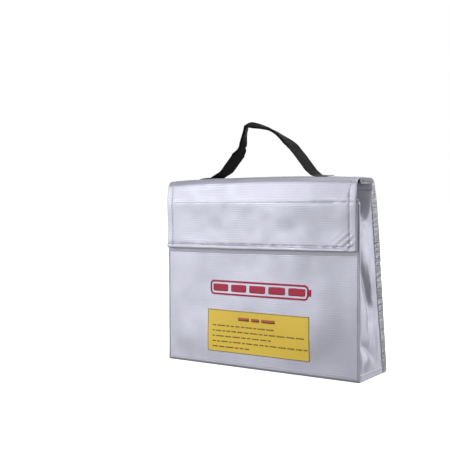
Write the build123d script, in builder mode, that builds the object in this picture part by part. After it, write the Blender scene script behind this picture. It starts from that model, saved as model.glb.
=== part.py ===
"""Fire-resistant fabric storage bag for drone and model batteries.

A flat-bottomed bag of silver coated cloth with a pale fibre lining.  The back wall runs on over the top
and down the front as one flap, held shut by a full-width hook strip on a loop strip.  A webbing handle is
sewn to the top.  The flap bends along two creases and the handle swings about its roots, so the cloth is
cut at the creases: a short curved strip stands for each bend.

Frame: +X to the bag's right, +Y to its back, +Z up.  The origin is the centre of the base.  Millimetres.
"""

import os
from math import atan2, cos, degrees, radians, sin, tan

from build123d import *

# ---- overall sizes ---------------------------------------------------------------------------------
bag_width = 240.0          # outside the side seams
base_depth = 65.0          # front wall to back wall at the base
front_height = 178.0       # top edge of the front wall
top_height = 203.5         # upper face of the flap where it crosses the mouth
front_lean = 2.3           # the front wall leans back by this much over its height
back_top = 7.5             # Y of the corner where the back wall would meet the top
gusset_height = 198.0      # top edge of the side gussets

# ---- cloth, tape and webbing -----------------------------------------------------------------------
cloth = 1.2                # coated outer cloth
lining = 0.6               # fibre lining, and the turned-in hems
tape = 0.9                 # hook strip and loop strip
tape_gap = 0.3             # between the closed strips
hem = 7.0                  # width of the turned-in hems
print_film = 0.3           # printed label and mark
webbing = 1.5
webbing_width = 25.0

# ---- side seams ------------------------------------------------------------------------------------
ridge_width = 2.4          # pinched front seam, seen from the front
ridge_depth = 2.0          # and from the side, behind the front wall's face
ridge_proud = 0.4
rear_band = 12.0           # overlocked rear seam allowance, seen from the side
rear_band_thickness = 2.0
crease_depth = 20.0        # how far the gusset folds in at its top
crease_start = 85.0        # height where that fold begins
crease_least = 0.5         # the fold never quite vanishes
seam_proud = 0.8           # hems and rear seams stand out from the gussets by this much
base_hem = 6.0

# ---- flap ------------------------------------------------------------------------------------------
flap_left = -117.5         # the flap is cut a little narrower than the bag
flap_right = 117.2
flap_bottom = 128.5        # height of the flap's lower edge on the front wall
rear_fold_radius = 6.0
front_fold_radius = 9.0
loop_bottom, loop_top = 124.0, 177.0
hook_bottom, hook_top = 131.0, 183.0

# ---- label and printed mark on the front wall ------------------------------------------------------
label_left, label_right = -64.0, 64.0
label_bottom, label_top = 15.5, 61.5
mark_left, mark_right = -61.0, 66.0
mark_bottom, mark_top = 78.0, 94.0
mark_line = 2.0            # width of the outline of the battery mark
mark_nub = (3.0, 7.0)      # battery terminal, width and height
mark_cells = 5

# ---- handle ----------------------------------------------------------------------------------------
handle_y = -11.5
root_spread = 60.5         # the webbing leaves the top this far each side of the middle
anchor_end = 79.0          # outer end of the sewn-down patch
root_height = 206.0
left_kink = (-30.0, 235.0)
right_kink = (43.0, 227.5)
grip_corner = (-24.5, 268.0)
grip_shoulder = (5.0, 259.5)
grip_width = 12.5          # the webbing is folded in half and stitched
grip_thickness = 3.0
grip_bends = [7.0, 34.0]   # radii of the sharp bend and of the long shoulder
kink_gap = 0.6             # between the grip's ends and the unfolded webbing

# ---- planes of the walls, each with +X across and its own Y up the wall ----------------------------
half_width = bag_width / 2
half_depth = base_depth / 2
gusset_face = half_width - seam_proud
front_angle = atan2(front_lean, front_height)
back_angle = atan2(half_depth - back_top, top_height)
front_wall = Plane(
    origin=(0, -half_depth, 0), x_dir=(1, 0, 0), z_dir=(0, -cos(front_angle), sin(front_angle))
)
back_wall = Plane(
    origin=(0, half_depth, 0), x_dir=(-1, 0, 0), z_dir=(0, cos(back_angle), sin(back_angle))
)
top = Plane.XY.offset(top_height)
base = Plane.XY

# The flap lies on the closed strips, so its outer face stands this far out from the front wall.
flap_face = tape + tape_gap + tape + lining + cloth
flap_corner = -half_depth - flap_face / cos(front_angle) + top_height * tan(front_angle)

# Each fold is an arc tangent to both of its planes, and begins this far from their shared corner.
front_fold_turn = 90.0 - degrees(front_angle)
rear_fold_turn = 90.0 - degrees(back_angle)
front_tangent = front_fold_radius * tan(radians(front_fold_turn / 2))
rear_tangent = rear_fold_radius * tan(radians(rear_fold_turn / 2))
top_front = flap_corner + front_tangent
top_rear = back_top - rear_tangent
flap_top_rise = top_height / cos(front_angle) - flap_face * tan(front_angle) - front_tangent
back_top_rise = top_height / cos(back_angle) - rear_tangent


def front_y(height):
    """Y of the front wall's outer face at a height."""
    return -half_depth + height * tan(front_angle)


def back_y(height):
    """Y of the back wall's outer face at a height."""
    return half_depth - height * tan(back_angle)


def foot(angle, thickness):
    """How far up a leaning wall a layer begins, so that its inner edge stands on the bottom panel."""
    return cloth / cos(angle) + thickness * tan(angle)


def save(piece, name):
    """Label a finished piece and write it to its own file."""
    piece.part.label = name
    export_step(piece.part, f"parts/{name}.step")


def sheet(plane, across, rise, inner, outer):
    """Flat piece on a wall: a span across it, a span up it, and two distances out from its face."""
    with BuildPart() as piece:
        with BuildSketch(plane.offset(inner)):
            with Locations((sum(across) / 2, sum(rise) / 2)):
                Rectangle(across[1] - across[0], rise[1] - rise[0])
        extrude(amount=outer - inner)
    return piece


def rounded_bar(plane, across, rise, inner, outer, radius):
    """A sheet whose long edges are rounded, for a pinched or overlocked seam."""
    with BuildPart() as piece:
        with BuildSketch(plane.offset(inner)):
            with Locations((sum(across) / 2, sum(rise) / 2)):
                Rectangle(across[1] - across[0], rise[1] - rise[0])
        extrude(amount=outer - inner)
        long_edges = piece.edges().filter_by(lambda edge: edge.length > bag_width / 3)
        fillet(long_edges, radius)
    return piece


def gusset_layer(side, low, high, face, thickness):
    """One layer of a side gusset: a sheet with an upright crease, which folds in above crease_start."""
    heights = [height for height in (low, crease_start, high) if low <= height <= high]
    with BuildPart() as piece:
        for height in heights:
            front_edge = front_y(height) + ridge_depth / cos(front_angle)
            rear_edge = back_y(height) - rear_band / cos(back_angle)
            crease = (front_edge + rear_edge) / 2
            risen = max(0, height - crease_start) / (gusset_height - crease_start)
            depth = crease_least + (crease_depth - crease_least) * risen
            with BuildSketch(Plane.XY.offset(height)):
                with BuildLine():
                    Polyline(
                        (side * face, front_edge),
                        (side * (face - depth), crease),
                        (side * face, rear_edge),
                        (side * (face - thickness), rear_edge),
                        (side * (face - depth - thickness), crease),
                        (side * (face - thickness), front_edge),
                        close=True,
                    )
                make_face()
        loft(ruled=True)
    return piece


def fold_strip(centre, radius, turn, direction, across):
    """Quarter-round strip of cloth and lining from the top plane round to a wall."""
    thickness = cloth + lining
    section = Plane(origin=(0, centre[0], centre[1]), x_dir=(1, 0, 0), z_dir=(0, -1, 0))
    with BuildPart() as piece:
        with BuildSketch(section):
            with Locations((sum(across) / 2, radius - thickness / 2)):
                Rectangle(across[1] - across[0], thickness)
        revolve(axis=Axis((0, centre[0], centre[1]), (direction, 0, 0)), revolution_arc=turn)
    return piece


def ribbon(points, bends, thickness, width):
    """Webbing that runs along a bent line in the XZ plane, its width along Y."""
    with BuildPart() as piece:
        with BuildLine(Plane.XZ.offset(-handle_y)) as run:
            if bends:
                FilletPolyline(*points, radius=bends)
            else:
                Polyline(*points)
        with BuildSketch(Plane(origin=run.line @ 0, x_dir=(0, 1, 0), z_dir=run.line % 0)):
            Rectangle(width, thickness)
        sweep(path=run.line)
    return piece


def part_way(start, end, distance):
    """The point a distance along the way from start to end."""
    way = Vector(*end) - Vector(*start)
    point = Vector(*start) + way.normalized() * distance
    return (point.X, point.Y)


os.makedirs("parts", exist_ok=True)

# ---- walls and base --------------------------------------------------------------------------------
wall_half = half_width - ridge_width
lining_half = gusset_face - cloth - lining - 0.2
lining_foot = foot(back_angle, cloth + lining)
band_inner = half_width - rear_band_thickness
base_lining_half = half_depth - cloth - lining - 0.5

bottom_panel = sheet(base, (-gusset_face, gusset_face), (-half_depth, half_depth), 0, cloth)
save(bottom_panel, "bottom_panel")

bottom_lining = sheet(
    base, (-lining_half, lining_half), (-base_lining_half, base_lining_half), cloth, cloth + lining
)
save(bottom_lining, "bottom_lining")

front_panel = sheet(front_wall, (-wall_half, wall_half), (foot(front_angle, cloth), front_height), -cloth, 0)
save(front_panel, "front_panel")

front_lining = sheet(
    front_wall, (-lining_half, lining_half), (lining_foot, front_height - 1), -cloth - lining, -cloth
)
save(front_lining, "front_lining")

back_panel = sheet(back_wall, (-band_inner, band_inner), (foot(back_angle, cloth), back_top_rise), -cloth, 0)
save(back_panel, "back_panel")

back_lining = sheet(
    back_wall, (-lining_half, lining_half), (lining_foot, back_top_rise), -cloth - lining, -cloth
)
save(back_lining, "back_lining")

loop_tape = sheet(front_wall, (-wall_half, wall_half), (loop_bottom, loop_top), 0, tape)
save(loop_tape, "loop_tape")

# ---- sides: gussets, their linings and hems, and the upright seams ---------------------------------
for side, word in ((-1, "left"), (1, "right")):
    gusset = gusset_layer(side, cloth, gusset_height, gusset_face, cloth)
    save(gusset, f"{word}_gusset")

    gusset_lining = gusset_layer(
        side, cloth + lining, gusset_height - 1, gusset_face - cloth, lining
    )
    save(gusset_lining, f"{word}_gusset_lining")

    mouth_hem = gusset_layer(
        side, gusset_height - hem, gusset_height, gusset_face + lining, lining
    )
    save(mouth_hem, f"{word}_mouth_hem")

    base_hem_strip = gusset_layer(side, cloth, cloth + base_hem, gusset_face + lining, lining)
    save(base_hem_strip, f"{word}_base_hem")

    front_seam = rounded_bar(
        front_wall,
        tuple(sorted((side * wall_half, side * half_width))),
        (foot(front_angle, ridge_depth), front_height),
        -ridge_depth,
        ridge_proud,
        0.7,
    )
    save(front_seam, f"{word}_front_seam")

    rear_seam = rounded_bar(
        back_wall,
        tuple(sorted((-side * band_inner, -side * half_width))),
        (foot(back_angle, rear_band), back_top_rise),
        -rear_band,
        0,
        0.6,
    )
    save(rear_seam, f"{word}_rear_seam")

# ---- label and printed battery mark ----------------------------------------------------------------
label = sheet(front_wall, (label_left, label_right), (label_bottom, label_top), 0, print_film)
save(label, "front_label")

mark_width = mark_right - mark_left - mark_nub[0]
mark_height = mark_top - mark_bottom
mark_x = mark_left + mark_width / 2
mark_z = (mark_bottom + mark_top) / 2
cell_pitch = (mark_width - 2 * mark_line) / mark_cells
cell_height = mark_height - 4 * mark_line
with BuildPart() as battery_mark:
    with BuildSketch(front_wall):
        with Locations((mark_x, mark_z)):
            RectangleRounded(mark_width, mark_height, 2.5 * mark_line)
            RectangleRounded(
                mark_width - 2 * mark_line,
                mark_height - 2 * mark_line,
                1.5 * mark_line,
                mode=Mode.SUBTRACT,
            )
        with Locations((mark_right - mark_nub[0] / 2, mark_z)):
            Rectangle(*mark_nub)
        with Locations((mark_x, mark_z)):
            with GridLocations(cell_pitch, 1, mark_cells, 1):
                Rectangle(cell_pitch - 2 * mark_line, cell_height)
    extrude(amount=print_film)
save(battery_mark, "battery_mark")

# ---- flap over the mouth ---------------------------------------------------------------------------
flap_span = (flap_left, flap_right)
inside_hems = (flap_left + hem, flap_right - hem)
left_hem_span = (flap_left, flap_left + hem)
right_hem_span = (flap_right - hem, flap_right)
top_span = (top_front, top_rear)
under = -cloth - lining

rear_fold = fold_strip(
    (top_rear, top_height - rear_fold_radius), rear_fold_radius, rear_fold_turn, -1, flap_span
)
save(rear_fold, "rear_fold")

flap_top_panel = sheet(top, flap_span, top_span, -cloth, 0)
save(flap_top_panel, "flap_top_panel")

flap_top_lining = sheet(top, inside_hems, top_span, under, -cloth)
save(flap_top_lining, "flap_top_lining")

flap_top_left_hem = sheet(top, left_hem_span, top_span, under, -cloth)
save(flap_top_left_hem, "flap_top_left_hem")

flap_top_right_hem = sheet(top, right_hem_span, top_span, under, -cloth)
save(flap_top_right_hem, "flap_top_right_hem")

front_fold = fold_strip(
    (top_front, top_height - front_fold_radius), front_fold_radius, front_fold_turn, 1, flap_span
)
save(front_fold, "front_fold")

# ---- flap down the front wall ----------------------------------------------------------------------
flap_inner = flap_face - cloth
side_rise = (flap_bottom + hem, flap_top_rise)

flap_front_panel = sheet(
    front_wall, flap_span, (flap_bottom, flap_top_rise), flap_inner, flap_face
)
save(flap_front_panel, "flap_front_panel")

flap_front_lining = sheet(front_wall, inside_hems, side_rise, flap_inner - lining, flap_inner)
save(flap_front_lining, "flap_front_lining")

flap_left_hem = sheet(front_wall, left_hem_span, side_rise, flap_inner - lining, flap_inner)
save(flap_left_hem, "flap_left_hem")

flap_right_hem = sheet(front_wall, right_hem_span, side_rise, flap_inner - lining, flap_inner)
save(flap_right_hem, "flap_right_hem")

flap_bottom_hem = sheet(
    front_wall, flap_span, (flap_bottom, flap_bottom + hem), flap_inner - lining, flap_inner
)
save(flap_bottom_hem, "flap_bottom_hem")

hook_tape = sheet(
    front_wall,
    (flap_left + 1, flap_right - 1),
    (hook_bottom, hook_top),
    flap_inner - lining - tape,
    flap_inner - lining,
)
save(hook_tape, "hook_tape")

# ---- handle ----------------------------------------------------------------------------------------
anchor_rise = (handle_y - webbing_width / 2, handle_y + webbing_width / 2)
left_handle_anchor = sheet(top, (-anchor_end, -root_spread), anchor_rise, 0, webbing)
save(left_handle_anchor, "left_handle_anchor")

right_handle_anchor = sheet(top, (root_spread, anchor_end), anchor_rise, 0, webbing)
save(right_handle_anchor, "right_handle_anchor")

left_root = (-root_spread + webbing, root_height)
right_root = (root_spread - webbing, root_height)
left_handle_riser = ribbon([left_root, left_kink], None, webbing, webbing_width)
save(left_handle_riser, "left_handle_riser")

right_handle_riser = ribbon([right_root, right_kink], None, webbing, webbing_width)
save(right_handle_riser, "right_handle_riser")

handle_grip = ribbon(
    [
        part_way(left_kink, grip_corner, kink_gap + webbing),
        grip_corner,
        grip_shoulder,
        part_way(right_kink, grip_shoulder, kink_gap),
    ],
    grip_bends,
    grip_thickness,
    grip_width,
)
save(handle_grip, "handle_grip")
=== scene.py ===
import math

import bpy
import numpy as np
from mathutils import Matrix, Vector


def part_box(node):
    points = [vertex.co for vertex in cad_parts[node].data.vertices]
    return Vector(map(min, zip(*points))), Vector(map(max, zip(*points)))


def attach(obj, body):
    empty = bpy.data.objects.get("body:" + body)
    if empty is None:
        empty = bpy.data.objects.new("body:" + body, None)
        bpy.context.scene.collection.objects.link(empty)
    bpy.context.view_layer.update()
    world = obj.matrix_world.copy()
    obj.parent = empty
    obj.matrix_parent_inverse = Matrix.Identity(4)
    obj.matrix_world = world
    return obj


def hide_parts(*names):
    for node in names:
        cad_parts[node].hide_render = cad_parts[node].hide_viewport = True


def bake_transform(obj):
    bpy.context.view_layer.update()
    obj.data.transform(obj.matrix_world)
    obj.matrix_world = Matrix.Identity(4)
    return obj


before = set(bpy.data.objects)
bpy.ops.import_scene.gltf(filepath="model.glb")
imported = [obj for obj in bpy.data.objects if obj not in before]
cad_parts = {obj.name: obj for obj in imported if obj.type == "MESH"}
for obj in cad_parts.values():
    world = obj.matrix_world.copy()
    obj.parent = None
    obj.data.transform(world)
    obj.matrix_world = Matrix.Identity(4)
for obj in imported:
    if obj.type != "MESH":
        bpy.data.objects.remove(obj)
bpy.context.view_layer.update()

# ==== Measures, in metres, read from the frame where the frame has them ====
seam_low, seam_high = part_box("right_front_seam")
flap_low, flap_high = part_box("flap_front_panel")
back_low, back_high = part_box("back_panel")
anchor_low, anchor_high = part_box("left_handle_anchor")
SEAM_X, RIDGE_W = seam_high.x, seam_high.x - seam_low.x
GUSSET_X, _, MOUTH_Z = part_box("right_gusset")[1]
_, HALF_DEPTH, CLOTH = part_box("bottom_panel")[1]
_, front_inner, FRONT_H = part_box("front_panel")[1]
TOP_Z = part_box("flap_top_panel")[1].z
FLAP_BOTTOM, FLAP_LEFT, FLAP_RIGHT = flap_low.z, flap_low.x, flap_high.x
HANDLE_Y = (anchor_low.y + anchor_high.y) / 2

FRONT_SLOPE = (front_inner - CLOTH + HALF_DEPTH) / FRONT_H
BACK_SLOPE = (HALF_DEPTH - back_low.y - CLOTH) / back_high.z
FLAP_OUT = -HALF_DEPTH + FLAP_BOTTOM * FRONT_SLOPE - flap_low.y
BAND = 0.012                 # width of the overlocked seam allowance at the back
BASE_RADIUS = 0.0010         # turn of the cloth from the walls into the base
REAR_RADIUS = 0.0075         # turn from the back wall into the top
FRONT_RADIUS = 0.0100        # turn from the top down the front
SKIN = 0.0009                # thickness of the outer cloth as it is seen at its edges
LINING = 0.0005              # thickness of the lining
HEM = 0.0078                 # turned-in edge of the flap
GRID = 0.0024                # spacing of a cloth mesh
SIDE_IN = 0.0064             # sewn lines, in from the flap's sides
HEM_IN = 0.0052              # and up from its lower edge
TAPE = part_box("loop_tape")[0].z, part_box("loop_tape")[1].z     # heights of the loop strip
MARGIN = 0.0004              # an extra line this close to each edge keeps the edge crisp
CROWN = 0.0030               # the top rises by this much in the middle
CROWN_FOOT = 0.176           # below this height the walls don't rise with it
SIDES = (-1, "left"), (1, "right")     # sign of x, and the word for it in names


def front_y(z):
    """y of the front wall's outer face at a height."""
    return -HALF_DEPTH + FRONT_SLOPE * z


def back_y(z):
    """y of the back wall's outer face at a height."""
    return HALF_DEPTH - BACK_SLOPE * z


def crown(x):
    """How far the top rises above its height at the sides."""
    return CROWN * np.clip(1 - (np.asarray(x) / FLAP_RIGHT) ** 2, 0, 1)


# ==== Small numeric helpers ====
def smooth(value, low, high):
    """0 below low, 1 above high, and a smooth step between."""
    t = np.clip((value - low) / (high - low), 0, 1)
    return t * t * (3 - 2 * t)


def bump(value, centre, width):
    """A bell of height 1."""
    return np.exp(-(((value - centre) / width) ** 2))


def wander(u, v, size, seed):
    """A smooth random field, about -1 to 1, with features about size across (one number or two)."""
    across, along = size if isinstance(size, tuple) else (size, size)
    angles = np.random.default_rng(seed).uniform(0, 2 * math.pi, (64, 64))
    a, b = np.asarray(u) / across + 11.3, np.asarray(v) / along + 7.7
    i, j = np.floor(a).astype(int), np.floor(b).astype(int)
    s, t = a - i, b - j

    def corner(m, n):
        angle = angles[(i + m) % 64, (j + n) % 64]
        return np.cos(angle) * (s - m) + np.sin(angle) * (t - n)

    fade_s, fade_t = s**3 * (s * (6 * s - 15) + 10), t**3 * (t * (6 * t - 15) + 10)
    low = corner(0, 0) * (1 - fade_s) + corner(1, 0) * fade_s
    high = corner(0, 1) * (1 - fade_s) + corner(1, 1) * fade_s
    return 1.5 * (low * (1 - fade_t) + high * fade_t)


def lines(low, high, step=GRID, margin=MARGIN, extra=()):
    """Evenly spaced values from low to high, with one more close to each end, and any extra ones."""
    count = max(2, round((high - low) / step))
    inner = np.linspace(low, high, count + 1)[1:-1]
    values = np.concatenate(([low, low + margin], inner, [high - margin, high], extra))
    return np.unique(np.round(values[(values >= low) & (values <= high)], 6))


def unit(vectors):
    return vectors / np.maximum(np.linalg.norm(vectors, axis=-1, keepdims=True), 1e-12)


def distances(points):
    """Distance from the first point, along the line, at every point."""
    return np.concatenate(([0], np.cumsum(np.linalg.norm(np.diff(points, axis=0), axis=1))))


def between(a, b, share):
    """The point at a share of the way from a to b."""
    return a[0] + (b[0] - a[0]) * share, a[1] + (b[1] - a[1]) * share


# ==== The long cloth: down the front, under the base, up the back, over the top and down as the flap ====
def filleted(corners, radii, step=0.0004):
    """Points along straight runs joined by arcs, their distances along the line, and where the arcs start
    and end."""
    points, marks, start = [], [], np.array(corners[0])
    for before, corner, after, radius in zip(corners, corners[1:], corners[2:], radii):
        before, corner, after = np.array(before), np.array(corner), np.array(after)
        come, leave = unit(corner - before), unit(after - corner)
        turn = math.acos(np.clip(come @ leave, -1, 1))
        reach = radius * math.tan(turn / 2)
        first, last = corner - come * reach, corner + leave * reach
        run = np.linalg.norm(first - start)
        points += [start + (first - start) * k for k in np.arange(0, 1, step / run)]
        side = np.array([-come[1], come[0]])
        side = side if side @ leave > 0 else -side
        centre = first + side * radius
        for angle in np.arange(0, turn, step / radius):
            points.append(centre + (first - centre) * math.cos(angle) + come * radius * math.sin(angle))
        marks += [first, last]
        start = last
    end = np.array(corners[-1])
    run = np.linalg.norm(end - start)
    points += [start + (end - start) * k for k in np.arange(0, 1, step / run)] + [end]
    points = np.array(points)
    along = distances(points)
    places = [along[np.argmin(np.linalg.norm(points - m, axis=1))] for m in marks]
    return points, along, places


front_corner = (front_y(TOP_Z) - FLAP_OUT, TOP_Z)
PATH, ALONG, PLACES = filleted(
    [
        (front_y(FRONT_H), FRONT_H),
        (front_y(0), 0.0),
        (HALF_DEPTH, 0.0),
        (back_y(TOP_Z), TOP_Z),
        front_corner,
        (front_y(FLAP_BOTTOM) - FLAP_OUT, FLAP_BOTTOM),
    ],
    [BASE_RADIUS, BASE_RADIUS, REAR_RADIUS, FRONT_RADIUS],
)
T_FRONT_FOOT, T_BASE_FRONT, T_BASE_BACK, T_BACK_FOOT, T_REAR_A, T_REAR_B, T_FRONT_A, T_FRONT_B = PLACES
T_END = ALONG[-1]
# the cloth is cut here, into the piece that bends at the rear crease and the one that bends at the front one
T_SPLIT = (T_REAR_B + T_FRONT_A) / 2
T_BASE_SPLIT = 0.004         # the walls' cloth goes this far round under the base
SLOPES = np.gradient(PATH, ALONG, axis=0)


def path_at(t):
    """(y, z) of the long cloth's outer face, and its outward direction, at a distance along it."""
    place = np.stack([np.interp(t, ALONG, PATH[:, k]) for k in (0, 1)], -1)
    slope = unit(np.stack([np.interp(t, ALONG, SLOPES[:, k]) for k in (0, 1)], -1))
    return place, np.stack([slope[..., 1], -slope[..., 0]], -1)


def t_on_front(z):
    """Distance along the cloth, at a height on the front wall."""
    return np.interp(-np.asarray(z), -PATH[ALONG <= T_FRONT_FOOT, 1], ALONG[ALONG <= T_FRONT_FOOT])


def t_on_flap(z):
    """Distance along the cloth, at a height on the flap."""
    return np.interp(-np.asarray(z), -PATH[ALONG >= T_FRONT_B, 1], ALONG[ALONG >= T_FRONT_B])


def stitch_groove(distance, along, seed):
    """A sewn line pulls the cloth down, a little more at some stitches than at others."""
    pull = 1 + 0.8 * wander(along, 0 * along, 0.007, seed) + 0.4 * wander(along, 0 * along, 0.0035, seed + 1)
    return -0.00042 * bump(distance, 0, 0.0011) * pull


def from_seams(x):
    """0 at the side seams, where the cloth is held, and 1 from 30 mm in."""
    return np.clip((SEAM_X - np.abs(x)) / 0.030, 0, 1) ** 0.7


def wall_relief(x, z):
    """Soft waves of the front wall, still at its sides and under the tape."""
    waves = 0.0013 * wander(x, z, (0.085, 0.060), 5) + 0.0005 * wander(x, z, (0.034, 0.050), 8)
    waves += 0.0007 * bump(z, 0.06, 0.05)
    calm = smooth(z, 0.0, 0.03) * (1 - 0.7 * smooth(z, 0.115, 0.140))
    return from_seams(x) * calm * waves


def back_relief(x, t):
    """Soft waves of the back wall."""
    rise = smooth(t, T_BACK_FOOT, T_BACK_FOOT + 0.03) * (1 - smooth(t, T_REAR_A - 0.02, T_REAR_A))
    waves = 0.0015 * wander(x, t, (0.080, 0.070), 15) + 0.0006 * wander(x, t, (0.030, 0.045), 16)
    return rise * from_seams(x) * waves


def top_relief(x, t):
    """The top sags between the handle's roots and is pressed down under its sewn ends."""
    place, _ = path_at(t)
    between = 1 - smooth(np.abs(x), 0.040, 0.058)
    under = smooth(np.abs(x), 0.0610, 0.0660) * (1 - smooth(np.abs(x), 0.0805, 0.0850))
    under *= 1 - smooth(np.abs(place[..., 0] - HANDLE_Y), 0.0128, 0.0165)
    flat = smooth(t, T_REAR_A, T_REAR_B + 0.003) * (1 - smooth(t, T_FRONT_A - 0.003, T_FRONT_B))
    free = 1 - smooth(np.abs(x), 0.050, 0.060) * (1 - smooth(np.abs(x), 0.086, 0.095))
    return flat * (-0.0004 * between - 0.0010 * under + 0.0005 * free * wander(x, t, 0.045, 21))


KNEE = 0.1790               # above this height nothing stands behind the flap, and it leans back


def flap_relief(x, t):
    """The flap leans back above its knee, puckers along its sewn lines and rolls at its hem."""
    place, _ = path_at(t)
    z = place[..., 1]
    down = t - T_FRONT_B                                  # distance down the flat part of the flap
    above = np.clip((z - KNEE) / 0.0150, 0, 1)
    lean = 0.0014 * (1 - above) - 0.0010 * above
    lean = np.where(z > KNEE, lean, 0.0014 * (1 - smooth(KNEE - z, 0.0, 0.034)))
    lean *= smooth(t, T_FRONT_A + 0.004, T_FRONT_B)
    loose = smooth(down, -0.004, 0.010)
    waves = 0.0008 * wander(x, z, (0.070, 0.034), 33) + 0.0003 * wander(x, z, (0.024, 0.017), 34)
    waves *= np.where(z > KNEE, 0.8, 1.0)
    side = FLAP_RIGHT - SIDE_IN - x
    other = x - FLAP_LEFT - SIDE_IN
    sewn = 0.55 * (stitch_groove(side, t, 35) + stitch_groove(other, t, 36))
    knee_line = stitch_groove(z - KNEE, x, 37) * (0.5 + 0.7 * smooth(x, 0.010, 0.070))
    hem_line = stitch_groove(T_END - HEM_IN - t, x, 38) * 1.3
    roll = 0.0007 * bump(T_END - 0.0025 - t, 0, 0.0024)
    corner = bump(x, FLAP_RIGHT - 0.010, 0.012) * bump(T_END - t, 0.011, 0.009)
    pulled = 0.0003 * corner * np.sin((x * 0.8 + t) / 0.0011)
    return lean + loose * (waves + sewn + knee_line + hem_line + roll + pulled)


def long_cloth_relief(x, t):
    """How far the cloth stands out from its flat shape."""
    place, _ = path_at(t)
    relief = np.where(t < T_BASE_FRONT, wall_relief(x, place[..., 1]), 0.0)
    relief = np.where((t > T_BACK_FOOT) & (t < T_REAR_A), back_relief(x, t), relief)
    relief = relief + top_relief(x, t)
    return relief + np.where(t > T_FRONT_A, flap_relief(x, t), 0.0)


def skewed(x, t):
    """The flap and the strip under it end a little higher at the right than at the left."""
    share = np.clip((x + 0.030) / 0.147, 0, 1) * 0.0018
    flap = share * np.clip((t - T_FRONT_B) / (T_END - T_FRONT_B), 0, 1)
    strip = share * bump(t, float(t_on_front(TAPE[0])), 0.008)
    return t - flap - np.where(t < T_BASE_FRONT, strip, 0)


def long_cloth(x, t, out=0.0):
    """A point of the long cloth, out from its outer face."""
    t = skewed(x, t)
    place, normal = path_at(t)
    stand = long_cloth_relief(x, t) + out
    lift = crown(x) * smooth(place[..., 1], CROWN_FOOT, TOP_Z)
    return np.stack(
        [x, place[..., 0] + normal[..., 0] * stand, place[..., 1] + normal[..., 1] * stand + lift], -1
    )


def cloth_edges(t):
    """Left and right edge of the long cloth."""
    wall, back = SEAM_X - RIDGE_W, SEAM_X - 0.0002
    marks = [T_FRONT_FOOT, T_BASE_FRONT, T_BASE_BACK, T_BACK_FOOT, T_REAR_A - 0.05, T_REAR_A]
    left = np.interp(t, marks, [-wall, -GUSSET_X, -GUSSET_X, -back, -back, FLAP_LEFT])
    right = np.interp(t, marks, [wall, GUSSET_X, GUSSET_X, back, back, FLAP_RIGHT])
    return left, right


# ==== Side gussets ====
def band_width(z):
    """The overlocked band is narrower at its foot, and where it turns over the top."""
    return BAND - 0.0030 * (1 - smooth(z, 0.020, 0.080)) - 0.0026 * smooth(z, 0.176, 0.1965)


def gusset_edges(z):
    """y of a gusset's front edge and of its rear edge."""
    return front_y(z) + 0.0017, back_y(z) - band_width(z) + 0.0014


GUSSET_W = 0.046             # a gusset's usual width, to turn shares across it into metres


def fold_line(s, z, points, above, below, height):
    """A ridge, or with a minus a valley, along points (share across, height), with a width on each side."""
    nearest = np.full(np.shape(s), np.inf)
    side, share = np.zeros_like(nearest), np.zeros_like(nearest)
    count = len(points) - 1
    for k, (a, b) in enumerate(zip(points, points[1:])):
        px, pz = (s - a[0]) * GUSSET_W, z - a[1]
        wx, wz = (b[0] - a[0]) * GUSSET_W, b[1] - a[1]
        along = np.clip((px * wx + pz * wz) / (wx * wx + wz * wz), 0, 1)
        away = np.hypot(px - along * wx, pz - along * wz)
        closer = away < nearest
        nearest = np.where(closer, away, nearest)
        side = np.where(closer, np.sign(pz * wx - px * wz), side)
        share = np.where(closer, (k + along) / count, share)
    width = np.where(side > 0, above, below)
    crest = np.exp(-1.3 * (np.sqrt((nearest / width) ** 2 + 0.04) - 0.2))
    return height * crest * np.sin(np.pi * np.clip(share, 0.10, 0.90)) ** 0.5


CREASES = (
    # points, width above or left of the line, width below or right of it, height
    (((0.30, 0.162), (0.56, 0.160), (0.92, 0.160)), 0.0170, 0.0060, -0.0010),
    (((-0.04, 0.1520), (0.20, 0.1490), (0.40, 0.1470), (0.90, 0.1460)), 0.0090, 0.0065, 0.0010),
    (((0.36, 0.1560), (0.56, 0.1510)), 0.0024, 0.0022, -0.0014),
    (((0.16, 0.141), (0.24, 0.116), (0.40, 0.096), (0.56, 0.077), (0.53, 0.058)), 0.0045, 0.0100, -0.0050),
    (((0.44, 0.126), (0.56, 0.100), (0.68, 0.078)), 0.0080, 0.0034, 0.0024),
    (((0.20, 0.084), (0.26, 0.060), (0.30, 0.042)), 0.0080, 0.0080, 0.0016),
    (
        ((-0.05, 0.0370), (0.15, 0.0345), (0.32, 0.0285), (0.52, 0.0205), (0.72, 0.0115)),
        0.0075, 0.0024, -0.0028,
    ),
)


def gusset_creases(s, z, side):
    """Folds and crumples of a gusset; the left one's are not quite the same as the right one's."""
    s, z = (s, z) if side > 0 else (s - 0.06, z * 1.04 - 0.003)
    total = sum(fold_line(s, z, points, above, below, height) for points, above, below, height in CREASES)
    bulge = 0.0026 * np.exp(-(((s - 0.16) / 0.30) ** 2) - ((z - 0.018) / 0.012) ** 2)
    return total + bulge * smooth(z, 0.003, 0.012)


def mouth_pleat(s, z):
    """The gusset's top collapses into the bag as a deep pleat over a V, as a share of its full depth."""
    lip = np.interp(z, (0.150, 0.163, 0.179, 0.187), (0.37, 0.33, 0.08, -0.20))
    rear = np.interp(z, (0.155, 0.178, 0.198), (0.62, 0.92, 1.0))
    deepest = lip + 0.15
    rising, falling = smooth(s, lip, deepest), 1 - np.clip((s - deepest) / (rear - deepest), 0, 1)
    across = np.where(s < deepest, rising, falling)
    return across * smooth(z, 0.157, 0.173)


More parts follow.
